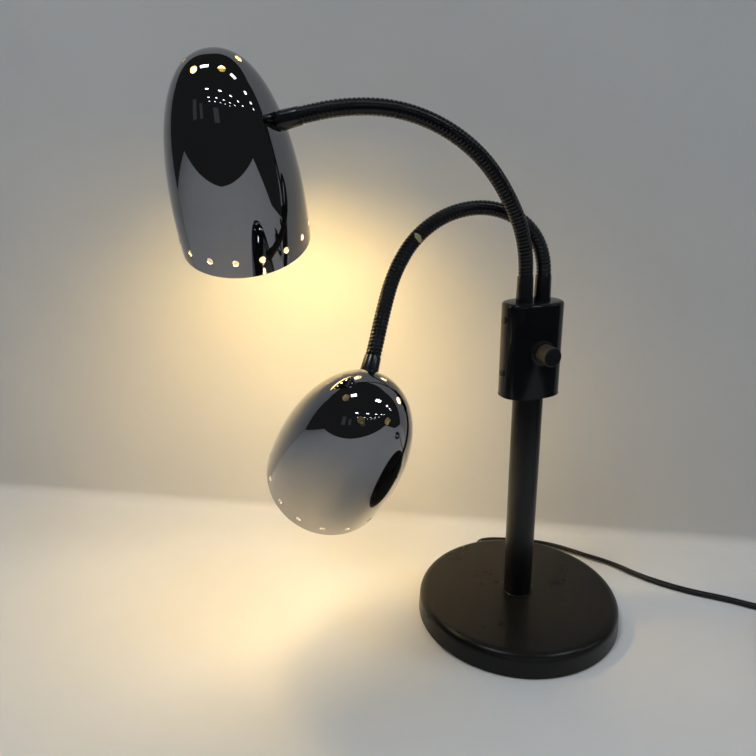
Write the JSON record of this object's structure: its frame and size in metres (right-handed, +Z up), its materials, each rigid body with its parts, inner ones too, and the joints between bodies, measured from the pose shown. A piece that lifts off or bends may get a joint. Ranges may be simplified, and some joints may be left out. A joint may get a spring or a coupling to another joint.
{
  "type": "desk lamp",
  "caption": "Desk lamp on a round weighted base with a switch housing on a short post, flexible gooseneck arms and bullet-shaped mirror-finish shades.",
  "frame": {"origin": "centre of the underside of the base", "axes": "+Z up the post; the switch knob faces between -Y and +X, and the arms reach to -X"},
  "size_m": [0.5736, 0.2808, 0.4694],
  "materials": {
    "base_black": "fine-textured satin black paint",
    "post_black": "satin black paint",
    "housing_black": "smooth semi-gloss black paint",
    "fastener_steel": "plain zinc-plated steel",
    "arm_black": "gloss black over a ribbed conduit",
    "ferrule_black": "gloss black",
    "shade_mirror": "mirror-polished smoky chrome",
    "weight_iron": "raw cast",
    "pad_felt": "fine-grained non-slip sheet",
    "bush_plastic": "moulded nylon",
    "switch_plastic": "moulded phenolic",
    "knob_plastic": "worn matte black-brown",
    "socket_plastic": "moulded phenolic",
    "bulb_cap_metal": "rolled thread",
    "bulb_glass": "frosted, lit warm white",
    "cord_black": "smooth black vinyl",
    "plug_black": "moulded black vinyl",
    "blade_brass": "bare stamped brass"
  },
  "bodies": {
    "stand": {"base_cover": "base_black", "base_weight": "weight_iron", "base_pad": "pad_felt", "base_washer": "fastener_steel", "base_nut": "fastener_steel", "post_collar": "post_black", "post_tube": "post_black", "post_bushes": "bush_plastic", "post_rod": "fastener_steel", "housing_shell": "housing_black", "housing_floor": "housing_black", "housing_bracket": "fastener_steel", "housing_screws": "fastener_steel", "floor_nut": "fastener_steel", "switch_body": "switch_plastic", "switch_ring": "housing_black", "arm_root_ferrules": "ferrule_black", "arm_root_nuts": "fastener_steel", "high_arm_root": "arm_black", "low_arm_root": "arm_black", "cord_relief": "cord_black", "inner_lead": "cord_black", "cord_run": "cord_black", "cord_coil": "cord_black", "plug_body": "plug_black", "plug_blades": "blade_brass"},
    "knob": {"switch_knob": "knob_plastic", "switch_shaft": "fastener_steel"},
    "high_link_1": {"high_arm_link_1": "arm_black"},
    "high_link_2": {"high_arm_link_2": "arm_black"},
    "high_link_3": {"high_arm_link_3": "arm_black"},
    "high_link_4": {"high_arm_link_4": "arm_black"},
    "high_link_5": {"high_arm_link_5": "arm_black"},
    "high_link_6": {"high_arm_link_6": "arm_black"},
    "high_head": {"high_arm_tip": "arm_black", "high_head_ferrule": "ferrule_black", "high_shade": "shade_mirror", "high_nipple": "fastener_steel", "high_nipple_nut": "fastener_steel", "high_socket_bracket": "fastener_steel", "high_socket": "socket_plastic", "high_bulb_cap": "bulb_cap_metal", "high_bulb_glass": "bulb_glass"},
    "low_link_1": {"low_arm_link_1": "arm_black"},
    "low_link_2": {"low_arm_link_2": "arm_black"},
    "low_link_3": {"low_arm_link_3": "arm_black"},
    "low_link_4": {"low_arm_link_4": "arm_black"},
    "low_link_5": {"low_arm_link_5": "arm_black"},
    "low_link_6": {"low_arm_link_6": "arm_black"},
    "low_head": {"low_arm_tip": "arm_black", "low_head_ferrule": "ferrule_black", "low_shade": "shade_mirror", "low_nipple": "fastener_steel", "low_nipple_nut": "fastener_steel", "low_socket_bracket": "fastener_steel", "low_socket": "socket_plastic", "low_bulb_cap": "bulb_cap_metal", "low_bulb_glass": "bulb_glass"}
  },
  "joints": [
    {"name": "knob_turn", "type": "hinge", "parent": "stand", "child": "knob", "pos_m": [0.01104, -0.01668, 0.251], "axis": [0.5519, -0.8339, 0], "continuous": true},
    {"name": "high_lower_bend", "type": "hinge", "parent": "stand", "child": "high_link_1", "pos_m": [-0.00783, -0.00661, 0.32694], "axis": [0.3345, -0.9231, -0.1897], "range_deg": [-12, 7]},
    {"name": "high_sway", "type": "hinge", "parent": "high_link_1", "child": "high_link_2", "pos_m": [-0.01587, -0.01801, 0.35808], "axis": [-0.8622, -0.1975, -0.4665], "range_deg": [-18, 18]},
    {"name": "high_lower_bend_end", "type": "hinge", "parent": "high_link_2", "child": "high_link_3", "pos_m": [-0.03055, -0.03267, 0.38533], "axis": [0.3537, -0.8928, -0.2789], "range_deg": [-12, 7]},
    {"name": "high_upper_bend", "type": "hinge", "parent": "high_link_3", "child": "high_link_4", "pos_m": [-0.0513, -0.04736, 0.40818], "axis": [0.3326, -0.9078, -0.2557], "range_deg": [-15, 6]},
    {"name": "high_sway_end", "type": "hinge", "parent": "high_link_4", "child": "high_link_5", "pos_m": [-0.07818, -0.06121, 0.42412], "axis": [-0.4154, 0.0986, -0.9043], "range_deg": [-18, 18]},
    {"name": "high_upper_bend_end", "type": "hinge", "parent": "high_link_5", "child": "high_link_6", "pos_m": [-0.10935, -0.0732, 0.43122], "axis": [0.2882, -0.9275, -0.2381], "range_deg": [-15, 6]},
    {"name": "high_head_tilt", "type": "hinge", "parent": "high_link_6", "child": "high_head", "pos_m": [-0.14264, -0.08077, 0.42976], "axis": [0.1611, -0.9564, -0.2436], "range_deg": [-25, 12]},
    {"name": "low_lower_bend", "type": "hinge", "parent": "stand", "child": "low_link_1", "pos_m": [0.00453, 0.00449, 0.32693], "axis": [0.3301, -0.94, 0.0862], "range_deg": [-10, 4]},
    {"name": "low_sway", "type": "hinge", "parent": "low_link_1", "child": "low_link_2", "pos_m": [-0.01539, 0.00178, 0.35373], "axis": [-0.4779, -0.283, -0.8316], "range_deg": [-18, 18]},
    {"name": "low_lower_bend_end", "type": "hinge", "parent": "low_link_2", "child": "low_link_3", "pos_m": [-0.04711, -0.00605, 0.36209], "axis": [0.2854, -0.9443, 0.1638], "range_deg": [-10, 4]},
    {"name": "low_upper_bend", "type": "hinge", "parent": "low_link_3", "child": "low_link_4", "pos_m": [-0.07687, -0.01906, 0.35234], "axis": [0.399, -0.8947, 0.201], "range_deg": [-12, 6]},
    {"name": "low_sway_end", "type": "hinge", "parent": "low_link_4", "child": "low_link_5", "pos_m": [-0.09676, -0.03596, 0.33053], "axis": [0.7731, 0.2513, -0.5825], "range_deg": [-18, 18]},
    {"name": "low_upper_bend_end", "type": "hinge", "parent": "low_link_5", "child": "low_link_6", "pos_m": [-0.10613, -0.05432, 0.30327], "axis": [0.5262, -0.7522, 0.3967], "range_deg": [-12, 6]},
    {"name": "low_head_tilt", "type": "hinge", "parent": "low_link_6", "child": "low_head", "pos_m": [-0.11009, -0.07322, 0.27494], "axis": [0.5322, -0.7233, 0.4399], "range_deg": [-25, 12]}
  ],
  "couplings": [
    {"joint": "high_lower_bend_end", "follows": "high_lower_bend", "ratio": 1},
    {"joint": "high_sway_end", "follows": "high_sway", "ratio": 1},
    {"joint": "high_upper_bend_end", "follows": "high_upper_bend", "ratio": 1},
    {"joint": "low_lower_bend_end", "follows": "low_lower_bend", "ratio": 1},
    {"joint": "low_sway_end", "follows": "low_sway", "ratio": 1},
    {"joint": "low_upper_bend_end", "follows": "low_upper_bend", "ratio": 1}
  ]
}
